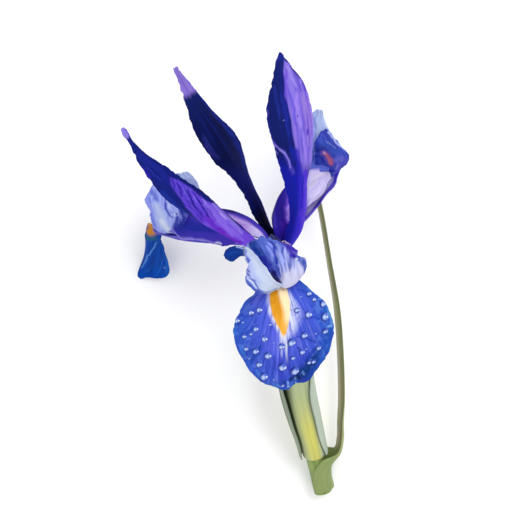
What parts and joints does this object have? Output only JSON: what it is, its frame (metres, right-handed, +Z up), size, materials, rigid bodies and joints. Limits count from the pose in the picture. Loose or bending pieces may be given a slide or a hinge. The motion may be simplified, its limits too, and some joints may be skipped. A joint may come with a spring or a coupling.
{
  "type": "iris flower",
  "caption": "Cut Dutch iris in full bloom with its bracts, a short stem and a slim leaf, lying on its back",
  "frame": {"origin": "On the surface under the middle of the flower's bounding box", "axes": "+Z up from the surface it lies on, +Y from the cut end of the stem towards the upright petals, +X to the right as seen from above with the stem towards the viewer"},
  "size_m": [0.0766, 0.1523, 0.0918],
  "materials": {
    "fall": "satin petal",
    "standard": "satin petal",
    "style_arm": "satin petal",
    "stamen": "matt",
    "stem": "satin",
    "spathe": "satin",
    "leaf": "satin"
  },
  "bodies": {
    "root": {"fall_front": "fall", "fall_left": "fall", "fall_right": "fall", "standard_right": "standard", "standard_middle": "standard", "standard_left": "standard", "style_front": "style_arm", "style_left": "style_arm", "style_right": "style_arm", "stamen_front": "stamen", "stamen_left": "stamen", "stamen_right": "stamen", "stem": "stem", "spathe_outer": "spathe", "spathe_inner": "spathe", "leaf": "leaf"}
  },
  "joints": []
}
